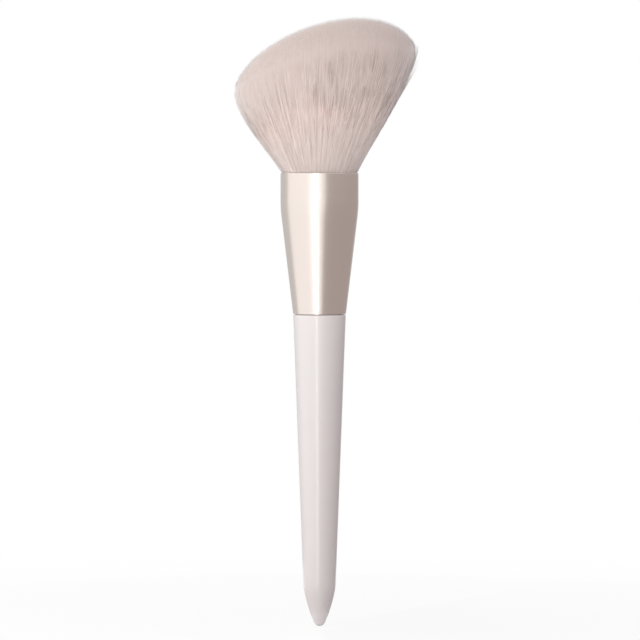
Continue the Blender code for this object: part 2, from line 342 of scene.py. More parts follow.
@dataclass(frozen=True)
class CottonThread:
    """Undyed cotton sewing thread, twisted from plies: matt, off-white and a little fuzzy."""

    tones: Stops = ((0.35, "DDD6CB"), (0.65, "F2EEE8"))
    roughness: float = 0.9
    sheen: float = 0.3
    # Real cotton fibres are about 0.02 mm, and are drawn coarser so that they show
    fibre_size: float = 0.08 * MM

    def material(self) -> bpy.types.Material:
        """Builds the node tree.

        Returns:
            The material.
        """
        material, tree, shader = start_material("cotton_thread")
        place = add_node(tree, "TexCoord").outputs["Object"]
        fibres = add_node(tree, "TexNoise", {"Vector": place, "Scale": 1 / self.fibre_size, "Detail": 2.0})
        colour = add_node(tree, "ValToRGB", {"Fac": fibres}, self.tones)
        matt = {"Roughness": self.roughness, "Sheen Weight": self.sheen}
        set_inputs(tree, shader, {"Base Color": colour, **matt})
        return material


def put_mesh(
    name: str,
    points: np.ndarray,
    faces: Sequence[Sequence[int]],
    places: Sequence[tuple[float, float]],
) -> bpy.types.Object:
    """Makes a mesh object with its own bake map.

    Args:
        name: The piece's name.
        points: One row of x, y and z for each vertex.
        faces: Each face's vertex numbers.
        places: The bake map's place of each corner, face by face.

    Returns:
        The new object, in the scene.
    """
    mesh = bpy.data.meshes.new(name)
    mesh.from_pydata([tuple(point) for point in points], [], faces)
    layer = mesh.uv_layers.new(name=BAKE_MAP)
    layer.data.foreach_set("uv", np.asarray(places, np.float32).ravel())
    piece = bpy.data.objects.new(name, mesh)
    bpy.context.scene.collection.objects.link(piece)
    return piece


def settle(
    piece: bpy.types.Object,
    material: bpy.types.Material,
    replaced: Iterable[str],
) -> bpy.types.Object:
    """Gives a piece its finish and its body, and hides the construction's nodes that it stands for.

    Args:
        piece: The new piece.
        material: Its finish.
        replaced: The construction's nodes that the piece stands for.

    Returns:
        The piece.
    """
    piece.data.materials.append(material)
    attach(piece, BODY)
    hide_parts(*replaced)
    LOG.info("%s: %d faces", piece.name, len(piece.data.polygons))
    return piece


def arc(centre: tuple[float, float], radius: float, start: float, end: float, steps: int = 8) -> Outline:
    """Points of an arc in the (radius, height) plane.

    Args:
        centre: The arc's centre.
        radius: Its radius.
        start: The angle of its first point, in radians.
        end: The angle of its last point.
        steps: How many chords it has.

    Returns:
        The arc's points, its two ends among them.
    """
    turns = [start + (end - start) * step / steps for step in range(steps + 1)]
    return [(centre[0] + radius * math.cos(turn), centre[1] + radius * math.sin(turn)) for turn in turns]


def refine(outline: Outline, longest: float) -> Outline:
    """Splits the long runs of an outline, so that its faces are not too slender.

    Args:
        outline: Points of (radius, height).
        longest: The longest run that stays whole.

    Returns:
        The outline with points added along its straight runs.
    """
    made = [outline[0]]
    for first, second in zip(outline, outline[1:]):
        parts = max(1, math.ceil(math.dist(first, second) / longest))
        for part in range(1, parts + 1):
            share = part / parts
            made.append(tuple(a + (b - a) * share for a, b in zip(first, second)))
    return made


def skin(rows: Sequence[Sequence[int]], shares: Sequence[float]) -> tuple[list[list[int]], Outline]:
    """Joins rings of vertices, each to the next, with bands of faces.

    Args:
        rows: Each ring's vertex numbers, in turn. A row of one vertex closes the form there.
        shares: Each ring's place on the map's second axis. The first axis goes once round.

    Returns:
        The faces, and the map's place of each of their corners.
    """
    sides = max(len(row) for row in rows)
    faces: list[list[int]] = []
    places: Outline = []
    for lower, upper, low, high in zip(rows, rows[1:], shares, shares[1:]):
        for side in range(sides):
            after = (side + 1) % sides
            left, right = side / sides, (side + 1) / sides
            middle = (left + right) / 2
            if len(lower) == 1:
                faces.append([lower[0], upper[after], upper[side]])
                places += [(middle, low), (right, high), (left, high)]
            elif len(upper) == 1:
                faces.append([lower[side], lower[after], upper[0]])
                places += [(left, low), (right, low), (middle, high)]
            else:
                faces.append([lower[side], lower[after], upper[after], upper[side]])
                places += [(left, low), (right, low), (right, high), (left, high)]
    return faces, places


def turned(name: str, outline: Outline, sides: int = 192, sharp: float = 40.0) -> bpy.types.Object:
    """Spins an outline about the brush's axis, smooth but for its sharp edges.

    Args:
        name: The piece's name.
        outline: Points of (radius, height). It is a closed loop unless it starts on the axis.
        sides: How many faces go round.
        sharp: The angle in degrees from which an edge stays sharp.

    Returns:
        The new piece.
    """
    loop = outline if outline[0][0] <= 0 else [*outline, outline[0]]
    runs = np.cumsum([0.0] + [math.dist(a, b) for a, b in zip(loop, loop[1:])])
    rows: list[list[int]] = []
    points: list[tuple[float, float, float]] = []
    for radius, height in outline:
        turns = [0.0] if radius <= 0 else [2 * math.pi * side / sides for side in range(sides)]
        rows.append(list(range(len(points), len(points) + len(turns))))
        points += [(radius * math.cos(turn), radius * math.sin(turn), height) for turn in turns]
    if len(loop) > len(outline):
        rows.append(rows[0])
    piece = put_mesh(name, np.array(points), *skin(rows, runs / runs[-1]))
    piece.data.shade_smooth()
    piece.data.set_sharp_from_angle(angle=math.radians(sharp))
    return piece


@dataclass
class Ferrule:
    """The drawn metal tube: a straight collar at the tuft, over a cone down to the handle."""

    tail_height: float
    mouth_height: float
    mouth_radius: float
    tail_radius: float
    collar_length: float = 10.5 * MM
    blend_radius: float = 40 * MM
    wall: float = 0.4 * MM
    edge_round: float = 0.08 * MM
    edge_steps: int = 3
    steps: int = 48

    def radius_at(self, height: float) -> float:
        """The outer radius at a height: a cone, a tangent blend and a straight collar.

        Args:
            height: A height between the tail and the mouth.

        Returns:
            The radius there.
        """
        kink = self.mouth_height - self.collar_length
        slope = (self.mouth_radius - self.tail_radius) / (kink - self.tail_height)
        angle = math.atan(slope)
        drop = kink + self.blend_radius * math.tan(angle / 2) - height
        if drop <= 0:
            return self.mouth_radius
        if drop <= self.blend_radius * math.sin(angle):
            return self.mouth_radius - self.blend_radius + math.sqrt(self.blend_radius**2 - drop**2)
        return self.mouth_radius - slope * (kink - height)

    def build(self, finish: AnodisedAluminium) -> bpy.types.Object:
        """Builds the tube, its cut edges broken with a small round.

        Args:
            finish: The metal's finish.

        Returns:
            The ferrule.
        """
        edge, wall, steps = self.edge_round, self.wall, self.steps
        low, high = self.tail_height + edge, self.mouth_height - edge
        heights = [low + (high - low) * step / steps for step in range(steps + 1)]
        # A row close to each cut edge keeps the edge's smooth shading off the collar and the cone
        heights = [low, low + edge, *heights[1:-1], high - edge, high]
        outer = [(self.radius_at(height), height) for height in heights]
        inner = [(radius - wall, height) for radius, height in reversed(outer)]
        mouth, tail = outer[-1][0], outer[0][0]
        centres = [(mouth - edge, high), (mouth - wall + edge, high)]
        centres += [(tail - wall + edge, low), (tail - edge, low)]
        rounds = []
        for number, centre in enumerate(centres):
            start, end = number * math.pi / 2, (number + 1) * math.pi / 2
            rounds.append(arc(centre, edge, start, end, self.edge_steps))
        outline = outer + rounds[0][1:] + rounds[1][:-1] + inner + rounds[2][1:] + rounds[3][:-1]
        piece = turned("ferrule_tube", outline)
        return settle(piece, finish.material(), ["ferrule"])


@dataclass
class Handle:
    """The turned handle: a blunt point, a soft crease, a long taper and a grooved tenon."""

    shoulder_height: float
    top_radius: float
    tenon_top: float
    tenon_radius: float
    crease_radius: float = 4.74 * MM
    crease_height: float = 11.2 * MM
    crease_softness: float = 1.4 * MM
    crease_steps: int = 10
    point_bulge: float = 0.3 * MM
    point_steps: int = 24
    nose_radius: float = 1.8 * MM
    nose_arc: float = math.radians(66)
    nose_steps: int = 16
    edge_round: float = 0.4 * MM
    groove_count: int = 3
    groove_pitch: float = 4 * MM
    groove_width: float = 1.8 * MM
    groove_depth: float = 0.5 * MM
    tenon_chamfer: float = 0.8 * MM
    longest_face: float = 2 * MM

    def point_outline(self) -> Outline:
        """Draws the blunt point.

        Returns:
            Its outline, from the axis up to the crease.
        """
        down = -math.pi / 2
        nose = arc((0.0, self.nose_radius), self.nose_radius, down, down + self.nose_arc, self.nose_steps)
        outline = [(0.0, 0.0), *nose[1:]]
        start = Vector(outline[-1])
        crease = Vector((self.crease_radius, self.crease_height))
        outward = Vector((crease.y - start.y, start.x - crease.x)).normalized()
        for step in range(1, self.point_steps + 1):
            share = step / self.point_steps
            bulge = 4 * self.point_bulge * share * (1 - share)
            outline.append(tuple(start.lerp(crease, share) + outward * bulge))
        return outline

    def soften_crease(self, outline: Outline, top: tuple[float, float]) -> Outline:
        """Rounds the crease between the point and the taper with a short curve.

        Args:
            outline: The point's outline, which ends on the crease.
            top: The upper end of the taper.

        Returns:
            The outline with a quadratic curve in place of the crease.
        """
        crease = Vector(outline[-1])
        below = [spot for spot in outline if spot[1] < self.crease_height - self.crease_softness]
        start = Vector(below[-1])
        end = crease + (Vector(top) - crease).normalized() * self.crease_softness
        curve = []
        for step in range(1, self.crease_steps + 1):
            share = step / self.crease_steps
            curve.append(tuple(start.lerp(crease, share).lerp(crease.lerp(end, share), share)))
        return below + curve

    def tenon_outline(self) -> Outline:
        """Draws the tenon, with its glue grooves and its chamfered end.

        Returns:
            Its outline, from the shoulder up to the axis.
        """
        outline = [(self.tenon_radius, self.shoulder_height)]
        floor = self.tenon_radius - self.groove_depth
        for index in range(self.groove_count):
            low = self.shoulder_height + (index + 0.5) * self.groove_pitch - self.groove_width / 2
            high = low + self.groove_width
            outline += [(self.tenon_radius, low), (floor, low + self.groove_depth)]
            outline += [(floor, high - self.groove_depth), (self.tenon_radius, high)]
        outline.append((self.tenon_radius, self.tenon_top - self.tenon_chamfer))
        outline.append((self.tenon_radius - self.tenon_chamfer, self.tenon_top))
        outline.append((0.0, self.tenon_top))
        return outline

    def build(self, finish: LacqueredBeech) -> bpy.types.Object:
        """Builds the handle, with its tenon.

        Args:
            finish: The handle's lacquer.

        Returns:
            The handle.
        """
        edge_centre = (self.top_radius - self.edge_round, self.shoulder_height - self.edge_round)
        edge = arc(edge_centre, self.edge_round, 0.0, math.pi / 2)
        outline = self.soften_crease(self.point_outline(), edge[0])
        outline = refine([*outline, *edge, *self.tenon_outline()], self.longest_face)
        piece = turned("lacquered_handle", outline)
        return settle(piece, finish.material(), ["handle"])


class HairLayer(Enum):
    """Which hairs a piece of the tuft holds."""

    COAT = "coat"
    LOOSE = "loose"
    STRAY = "stray"
    CROWN = "crown"


@dataclass(frozen=True)
class HairGroup:
    """A share of the tuft's hairs that is one piece.

    The reaches are shares of the root's radius, between which the hairs stand. The hairs show from
    the start, a share of the way from root to tip, and are drawn in as many steps.
    """

    name: str
    layer: HairLayer
    count: int
    reaches: Span
    start: float
    steps: int
    seed: int


@dataclass
class Growth:
    """What the steps that grow one group's hairs share.

    The shares run from root to tip. u and v are the roots' places across the unit disc and from
    its front to its back, and a loose hair comes up out of the coat at its rise, a share too.
    """

    group: HairGroup
    random: np.random.Generator
    shares: np.ndarray
    u: np.ndarray
    v: np.ndarray
    rises: np.ndarray


@dataclass
class TuftForm:
    """The slanted dome that the hairs end on, and how they fan out to it from their root."""

    mouth_height: float
    root_height: float
    root_radius: float
    low_reach: float = 25.5 * MM
    high_reach: float = 28.9 * MM
    half_depth: float = 20 * MM
    low_shoulder: float = 22.7 * MM
    high_shoulder: float = 35.7 * MM
    front_rise: float = 7.5 * MM
    dome: float = 15.6 * MM
    high_side_fall: float = 0.25
    belly: float = 0.65
    high_belly: float = 0.5
    rim_reach: float = 0.80
    rim_drop: float = 3.5 * MM
    crown_axis: float = 22 * MM
    foot_axis: float = 60 * MM

    @property
    def half_width(self) -> float:
        """Half the tuft's width."""
        return (self.high_reach + self.low_reach) / 2

    @property
    def centre(self) -> float:
        """How far the tuft's middle lies to its high side."""
        return (self.high_reach - self.low_reach) / 2

    @property
    def slope(self) -> float:
        """How much the dome's foot rises to the high side, for each unit across."""
        return (self.high_shoulder - self.low_shoulder) / (2 * self.half_width)

    @property
    def foot(self) -> float:
        """The height of the dome's foot, in the tuft's middle."""
        return self.mouth_height + (self.low_shoulder + self.high_shoulder) / 2

    def tips(self, u: np.ndarray, v: np.ndarray) -> np.ndarray:
        """Where hairs end on the dome, spread evenly over it.

        Args:
            u: The roots' places across the unit disc.
            v: Their places from its front to its back.

        Returns:
            One row of x, y and z for each hair.
        """
        reach_squared = np.minimum(u**2 + v**2, 1.0)
        spread = np.sqrt(2 - reach_squared)
        sideways = self.half_width * spread * u
        crown = (1 - reach_squared) ** (1 + self.high_side_fall * np.maximum(u, 0.0))
        height = self.foot + self.slope * sideways + self.dome * crown + self.front_rise * v**2
        past_rim = np.maximum(0.0, (np.sqrt(reach_squared) - self.rim_reach) / (1 - self.rim_reach))
        height = height - self.rim_drop * past_rim**2 * v**2
        return np.stack([self.centre + sideways, self.half_depth * spread * v, height], axis=-1)

    def lines(self, u: np.ndarray, v: np.ndarray, shares: np.ndarray, lengths: np.ndarray) -> np.ndarray:
        """The hairs' centre lines.

        Args:
            u: The roots' places across the unit disc, hair by hair and share by share.
            v: Their places from its front to its back, in the same way.
            shares: Shares of the way from root to tip, from 0 to 1.
            lengths: Each hair's length, as a share of the dome's.

        Returns:
            An array of hair, share and axis.
        """
        tips = self.tips(u, v)
        along = shares[None, :] * lengths[:, None]
        belly = self.belly + (self.high_belly - self.belly) * np.maximum(u, 0.0) ** 2
        fan = along + belly * along**2 * (1 - along)
        feet = np.stack([self.root_radius * u[:, 0], self.root_radius * v[:, 0]], axis=-1)
        level = feet[:, None, :] + (tips[:, :, :2] - feet[:, None, :]) * fan[:, :, None]
        height = self.root_height + (tips[:, :, 2] - self.root_height) * along
        return np.concatenate([level, height[:, :, None]], axis=-1)

    def facing(self, points: np.ndarray) -> np.ndarray:
        """Which way the tuft as a whole faces at points on it, as on a slanted ellipsoid.

        Args:
            points: Points, with x, y and z on the last axis.

        Returns:
            Unit vectors in the same layout.
        """
        across = points[..., 0] - self.centre
        above = points[..., 2] - self.foot - self.slope * across
        upright = above / np.where(above > 0, self.crown_axis, self.foot_axis) ** 2
        outward = across / self.half_width**2 - self.slope * np.maximum(upright, 0.0)
        field = np.stack([outward, points[..., 1] / self.half_depth**2, upright], axis=-1)
        return field / np.linalg.norm(field, axis=-1, keepdims=True)


@dataclass
class Tuft:
    """The hairs of the tuft, in pieces, over the mass that they lie packed in.

    A tone is a place on the hairs' colour ramp, from dark at 0 to light at 1. Lengths, rises and
    runs are shares of a hair's way from root to tip, and core reaches are shares of the root's
    radius. Two numbers together are the ends of a range.
    """

    form: TuftForm

    # Every hair: its girth, its taper to a point, its length and its tone. The last two numbers say
    # how wide its faces and its foot are on the map, and the scatter turns each hair its own way
    sides: int = 3
    hair_radius: float = 0.045 * MM
    girth_spread: Span = (0.75, 1.25)
    root_girth: float = 0.35
    root_widening: float = 2.0
    point_share: float = 0.86
    tip_girth: float = 0.12
    taper_power: float = 0.7
    length_spread: float = 0.004
    length_limits: Span = (-2.5, 1.5)
    tone: float = 0.45
    tone_spread: float = 0.015
    tone_limits: Span = (0.02, 0.98)
    scatter: int = 997
    tone_width: float = 0.012
    foot_width: float = 0.01

    # How each hair sways, gathers into a lock and shades as one with the tuft
    sway: float = 0.06 * MM
    sway_spread: Span = (0.2, 1.0)
    sway_waves: int = 2
    sway_period: float = 20 * MM
    period_spread: Span = (0.7, 1.6)
    sway_growth: float = 4.0
    lock_count: int = 2600
    lock_pull: float = 0.05
    own_share: float = 0.08
    tilt: float = 0.035

    # The coat, whose hairs end in and under the dome. Its tones are painted light: paler near the
    # root against the shade the hairs cast on each other there, and paler towards the tip on the
    # high side, where the side light grazes
    coat_spread: float = 0.04
    coat_shortest: float = 4.0
    coat_lean: float = 0.35
    coat_lean_power: int = 4
    coat_painted_light_span: Span = (0.36, 0.72)
    coat_painted_light_tones: Span = (0.62, 0.43)
    high_side_painted_light: float = 0.36

    # The loose hairs, thicker than real ones so that they show, which come up out of the coat. Their
    # middle tone is painted shade, set down with their rise to match the packed mass, and painted
    # light makes them paler on the high side
    loose_girth: float = 1.8
    loose_rises: Span = (0.15, 0.98)
    loose_runs: Span = (0.05, 0.13)
    loose_lift: float = 0.12 * MM
    loose_dip: float = 0.6 * MM
    loose_crowding: float = 0.7
    loose_rounds: int = 12
    loose_side_start: float = 0.15
    loose_side_rise: float = 0.65
    loose_side_ramp: float = 0.5
    loose_low_share: float = 0.004
    loose_crown_from: float = 0.8
    loose_crown_lengths: Span = (0.985, 1.07)
    loose_past_rise: float = 0.04
    loose_lengths: Span = (0.93, 0.985)
    loose_tone_span: Span = (0.2, 0.6)
    loose_shade_matched_tones: Span = (0.37, 0.31)
    loose_side_painted_light: float = 0.05
    # The darker loose hairs are painted shadow slits, and the lighter ones painted highlights
    loose_shadow_share: float = 0.55
    loose_painted_shadow: Span = (0.02, 0.12)
    loose_painted_highlight: Span = (0.02, 0.07)

    # The stray hairs, which stand off the high side
    stray_turn: float = 0.35
    stray_lean: float = 0.08
    stray_lean_power: int = 6
    stray_lengths: Span = (0.8, 0.98)

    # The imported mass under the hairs, with a rounded shoulder. Its foot's middle lies a little up
    # the map, so that the faces there have an area on it
    core_reach: float = 0.972
    core_length: float = 0.982
    core_sides: int = 144
    core_steps: int = 20
    corner_share: float = 0.10
    corner_reach: float = 0.15
    corner_steps: int = 8
    top_steps: int = 14
    foot_place: float = 0.0005

    def groups(self) -> list[HairGroup]:
        """Lists the pieces of the tuft, each under 200,000 triangles.

        Returns:
            The groups, in the order in which they grow.
        """
        made = []
        for number in range(2):
            name = f"coat_hair_{number + 1}"
            made.append(HairGroup(name, HairLayer.COAT, 2100, (0.945, 1.0), 0.0, 12, 11 + number))
        made.append(HairGroup("loose_hair", HairLayer.LOOSE, 480, (0.985, 1.0), 0.0, 36, 31))
        made.append(HairGroup("stray_hair", HairLayer.STRAY, 26, (0.99, 1.0), 0.0, 24, 41))
        for number in range(4):
            name = f"crown_hair_{number + 1}"
            made.append(HairGroup(name, HairLayer.CROWN, 9000, (0.0, 0.9), 0.6, 4, 21 + number))
        return made

    def roots(self, group: HairGroup, random: np.random.Generator) -> tuple[np.ndarray, ...]:
        """Places a group's roots at random over its ring of the unit disc.

        Args:
            group: The hairs to place.
            random: The group's own source of random numbers.

        Returns:
            The roots' places across and along the disc, and rises of 0.
        """
        low, high = group.reaches
        areas = random.uniform(low**2, high**2, group.count)
        turns = random.uniform(0.0, 2 * math.pi, group.count)
        if group.layer is HairLayer.STRAY:
            turns = self.stray_turn * random.standard_normal(group.count)
        return np.sqrt(areas) * np.cos(turns), np.sqrt(areas) * np.sin(turns), np.zeros(group.count)

    def loose_roots(self, group: HairGroup, random: np.random.Generator) -> tuple[np.ndarray, ...]:
        """Places the loose hairs, few of them low down on the tuft's low side.

        Args:
            group: The hairs to place.
            random: The group's own source of random numbers.

        Returns:
            The roots' places across and along the unit disc, and the share at which each rises.
        """
        number = np.arange(group.count)
        spread = (number * (math.sqrt(5) - 1) / 2 % 1) ** self.loose_crowding
        low, high = self.loose_rises
        rises = low + (high - low) * spread
        turns = 2 * math.pi * (number + random.random(group.count)) / group.count
        for _ in range(self.loose_rounds):
            side = np.cos(turns) + self.loose_side_start + self.loose_side_rise * rises
            chance = np.clip(side / self.loose_side_ramp, self.loose_low_share, 1.0)
            again = random.random(group.count) > chance
            turns = np.where(again, random.uniform(0.0, 2 * math.pi, group.count), turns)
        reach = random.uniform(*group.reaches, group.count)
        return reach * np.cos(turns), reach * np.sin(turns), rises

    def locks(self, u: np.ndarray, v: np.ndarray, batch: int = 2000) -> np.ndarray:
        """Finds the lock that each hair belongs to.

        Args:
            u: The roots' places across the unit disc.
            v: Their places from its front to its back.
            batch: How many hairs are compared with the locks at a time.

        Returns:
            For each hair, the middle of its lock in the unit disc.
        """
        number = np.arange(self.lock_count) + 0.5
        reach = np.sqrt(number / self.lock_count)
        turn = number * math.pi * (3 - math.sqrt(5))
        middles = np.stack([reach * np.cos(turn), reach * np.sin(turn)], axis=-1)
        spots = np.stack([u, v], axis=-1)
        nearest = np.empty(len(spots), int)
        for start in range(0, len(spots), batch):
            part = spots[start : start + batch]
            apart = ((part[:, None, :] - middles[None, :, :]) ** 2).sum(-1)
            nearest[start : start + batch] = apart.argmin(1)
        return middles[nearest]

    def paths(self, growth: Growth) -> tuple[np.ndarray, np.ndarray]:
        """Gathers the hairs into locks, leans the coat in and the strays out.

        Args:
            growth: The group's hairs.

        Returns:
            Their places across the unit disc and from its front to its back, by hair and share.
        """
        group, shares = growth.group, growth.shares
        middles = self.locks(growth.u, growth.v)
        pull = self.lock_pull * shares**2
        u = growth.u[:, None] + (middles[:, 0] - growth.u)[:, None] * pull
        v = growth.v[:, None] + (middles[:, 1] - growth.v)[:, None] * pull
        if group.layer is HairLayer.COAT:
            lean = self.coat_lean * growth.random.random(group.count)
            inward = 1 - lean[:, None] * shares[None, :] ** self.coat_lean_power
            return u * inward, v * inward
        if group.layer is HairLayer.STRAY:
            lean = self.stray_lean * growth.random.random(group.count)
            return u * (1 + lean[:, None] * shares[None, :] ** self.stray_lean_power), v
        return u, v

    def lengths(self, growth: Growth) -> np.ndarray:
        """Draws each hair's length.

        Args:
            growth: The group's hairs.

        Returns:
            The lengths, as shares of the way to the dome.
        """
        layer, count, random = growth.group.layer, growth.group.count, growth.random
        if layer is HairLayer.COAT:
            return 1.0 - self.coat_spread * random.exponential(1.0, count).clip(0.0, self.coat_shortest)
        if layer is HairLayer.LOOSE:
            longer = random.uniform(*self.loose_crown_lengths, count)
            shorter = np.clip(growth.rises + self.loose_past_rise, *self.loose_lengths)
            return np.where(growth.rises > self.loose_crown_from, longer, shorter)
        if layer is HairLayer.STRAY:
            return random.uniform(*self.stray_lengths, count)
        return 1 + self.length_spread * random.standard_normal(count).clip(*self.length_limits)

    def lift(self, growth: Growth) -> np.ndarray:
        """Brings each loose hair up out of the coat about its rise, and under it elsewhere.

        Args:
            growth: The group's hairs.

        Returns:
            How far each point is moved out, by hair and share.
        """
        run = growth.random.uniform(*self.loose_runs, growth.group.count)
        away = (growth.shares[None, :] - growth.rises[:, None]) / run[:, None]
        return (self.loose_lift + self.loose_dip) * np.exp(-(away**2)) - self.loose_dip

    def sway_lines(self, growth: Growth, lines: np.ndarray) -> None:
        """Moves the hairs sideways in slow waves that grow from the root.

        Args:
            growth: The group's hairs.
            lines: Their centre lines, which are changed.
        """
        random, shares, count = growth.random, growth.shares, growth.group.count
        span = lines[:, -1, 2] - lines[:, 0, 2]
        for _ in range(self.sway_waves):
            turn = random.uniform(0, 2 * math.pi, count)
            phase = random.uniform(0, 2 * math.pi, count)
            period = self.sway_period * random.uniform(*self.period_spread, count)
            reach = self.sway * random.uniform(*self.sway_spread, count)
            wave = np.sin(2 * math.pi * shares[None, :] * (span / period)[:, None] + phase[:, None])
            wave *= reach[:, None] * np.minimum(1.0, self.sway_growth * shares)[None, :]
            lines[:, :, 0] += wave * np.cos(turn)[:, None]
            lines[:, :, 1] += wave * np.sin(turn)[:, None]

    def widths(self, growth: Growth) -> np.ndarray:
        """Draws each hair's girth, slim at the root and ground to a point at the tip.

        Args:
            growth: The group's hairs.

        Returns:
            The radius of each point, by hair and share.
        """
        shares = growth.shares
        thickness = self.hair_radius * growth.random.uniform(*self.girth_spread, growth.group.count)
        if growth.group.layer is HairLayer.LOOSE:
            thickness *= self.loose_girth
        taper = np.clip((1 - shares) / (1 - self.point_share), 0.0, 1.0) ** self.taper_power
        girth = self.root_girth + (1 - self.root_girth) * np.minimum(self.root_widening * shares, 1.0)
        return thickness[:, None] * (girth * (self.tip_girth + (1 - self.tip_girth) * taper))[None, :]

    def tones(self, growth: Growth) -> np.ndarray:
        """Draws how light or dark each hair is.

        Args:
            growth: The group's hairs.

        Returns:
            The tone of each point, by hair and share.
        """
        group, random, shares = growth.group, growth.random, growth.shares
        high_side = np.maximum(growth.u, 0.0)
        own = self.tone_spread * random.standard_normal((group.count, 1))
        if group.layer is HairLayer.COAT:
            # Painted light: the coat is paler near the root and towards the tip on the high side
            paler = self.high_side_painted_light * high_side[:, None] * shares[None, :]
            tones = np.interp(shares, self.coat_painted_light_span, self.coat_painted_light_tones)[None, :] + own + paler
        elif group.layer is HairLayer.LOOSE:
            # Painted shadow and highlight: dark hairs stand for shadow slits, light ones for lit hairs
            dark = random.random(group.count) < self.loose_shadow_share
            # Painted shade sets the level down to the packed mass's; the high side is paler as painted light
            level = np.interp(growth.rises, self.loose_tone_span, self.loose_shade_matched_tones)
            level = level + self.loose_side_painted_light * high_side
            darker = level - random.uniform(*self.loose_painted_shadow, group.count)
            lighter = level + random.uniform(*self.loose_painted_highlight, group.count)
            tones = np.repeat(np.where(dark, darker, lighter)[:, None], len(shares), axis=1)
        else:
            tones = np.full((group.count, len(shares)), self.tone) + own
        return np.clip(tones, *self.tone_limits)

    def build_group(self, group: HairGroup, material: bpy.types.Material) -> bpy.types.Object:
        """Grows the hairs of one group.

        Args:
            group: The hairs to grow.
            material: Their finish.

        Returns:
            The group's piece.
        """
        random = np.random.default_rng(group.seed)
        shares = np.linspace(group.start, 1.0, group.steps + 1)
        place = self.loose_roots if group.layer is HairLayer.LOOSE else self.roots
        growth = Growth(group, random, shares, *place(group, random))
        u, v = self.paths(growth)
        lines = self.form.lines(u, v, shares, self.lengths(growth))
        facing = self.form.facing(lines)
        if group.layer is HairLayer.LOOSE:
            lines += self.lift(growth)[:, :, None] * facing
        facing = facing + self.tilt * random.standard_normal((group.count, 1, 3))
        self.sway_lines(growth, lines)
        widths = self.widths(growth)
        tones = self.tones(growth)
        return self.strands(group.name, lines, widths, facing, tones, material)

    def one_strand(self, steps: int) -> tuple[list[list[int]], Outline]:
        """Lists the faces of one hair: its foot, its sides and its point.

        Args:
            steps: How many rings it has under its point.

        Returns:
            The faces, and the place of each of their corners, across a face and along the hair.
        """
        sides = self.sides
        faces = [list(range(sides))[::-1]]
        places = [(at / (sides - 1), self.foot_width * (at % 2)) for at in range(sides)]
        for step in range(steps):
            low, high = step / steps, (step + 1) / steps
            here, above = step * sides, (step + 1) * sides
            for side in range(sides):
                after = (side + 1) % sides
                if step == steps - 1:
                    faces.append([here + side, here + after, above])
                    places += [(0.0, low), (1.0, low), (0.5, high)]
                else:
                    faces.append([here + side, here + after, above + after, above + side])
                    places += [(0.0, low), (1.0, low), (1.0, high), (0.0, high)]
        return faces, places

    def strands(
        self,
        name: str,
        lines: np.ndarray,
        widths: np.ndarray,
        facing: np.ndarray,
        tones: np.ndarray,
        material: bpy.types.Material,
    ) -> bpy.types.Object:
        """Skins hairs as slender prisms that end in a point.

        Args:
            name: The piece's name.
            lines: Points by hair, step and axis, from root to tip.
            widths: Each point's radius, by hair and step.
            facing: Which way the tuft faces at each point.
            tones: Each point's tone from 0 to 1, by hair and step.
            material: The hairs' finish.

        Returns:
            The piece.
        """
        count, steps, sides = lines.shape[0], lines.shape[1] - 1, self.sides
        # A hair's own tone also says how far its prism is turned, which is as good as at random
        turns = 2 * math.pi * (np.arange(sides)[None, :] / sides + (tones[:, :1] * self.scatter % 1))
        corners = np.stack([np.cos(turns), np.sin(turns), np.zeros_like(turns)], axis=-1)
        rings = lines[:, :-1, None, :] + widths[:, :-1, None, None] * corners[:, None, :, :]
        points = np.concatenate([rings.reshape(count, steps * sides, 3), lines[:, -1:, :]], axis=1)
        own = self.own_share * np.tile(corners, (1, steps, 1))
        ring_facing = np.repeat(facing[:, :-1, :], sides, axis=1) + own
        normals = np.concatenate([ring_facing, facing[:, -1:, :]], axis=1).reshape(-1, 3)
        normals /= np.linalg.norm(normals, axis=-1, keepdims=True)

        faces, places = self.one_strand(steps)
        hair = np.arange(count)[:, None]
        corner_numbers = np.concatenate(faces)
        numbers = corner_numbers[None, :] + points.shape[1] * hair
        starts = np.cumsum([0] + [len(face) for face in faces[:-1]])
        starts = starts[None, :] + len(corner_numbers) * hair
        across, along = np.array(places).T
        across = tones[:, np.minimum(corner_numbers // sides, steps)] + self.tone_width * (across - 0.5)
        uv = np.stack([across, np.broadcast_to(along, across.shape)], axis=-1)

        mesh = bpy.data.meshes.new(name)
        mesh.vertices.add(points.shape[0] * points.shape[1])
        mesh.vertices.foreach_set("co", points.astype(np.float32).ravel())
        mesh.loops.add(numbers.size)
        mesh.loops.foreach_set("vertex_index", numbers.astype(np.int32).ravel())
        mesh.polygons.add(starts.size)
        mesh.polygons.foreach_set("loop_start", starts.astype(np.int32).ravel())
        layer = mesh.uv_layers.new(name=BAKE_MAP)
        layer.data.foreach_set("uv", uv.astype(np.float32).ravel())
        mesh.update(calc_edges=True)
        mesh.shade_smooth()
        mesh.normals_split_custom_set_from_vertices(normals)
        piece = bpy.data.objects.new(name, mesh)
        bpy.context.scene.collection.objects.link(piece)
        return settle(piece, material, ["bristle_tuft"])

    def core_path(self) -> Outline:
        """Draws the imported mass's side: up its flank, round its shoulder and in over its crown.

        Returns:
            The share of the way to the dome and the reach in the unit disc of each ring.
        """
        low_corner, shrink = 1 - self.corner_share, self.core_reach - self.corner_reach
        path = [(low_corner * step / self.core_steps, self.core_reach) for step in range(self.core_steps)]
        for step in range(self.corner_steps + 1):
            turn = math.pi / 2 * step / self.corner_steps
            share = low_corner + self.corner_share * math.sin(turn)
            path.append((share, shrink + self.corner_reach * math.cos(turn)))
        path += [(1.0, shrink * (1 - step / self.top_steps)) for step in range(1, self.top_steps)]
        return path

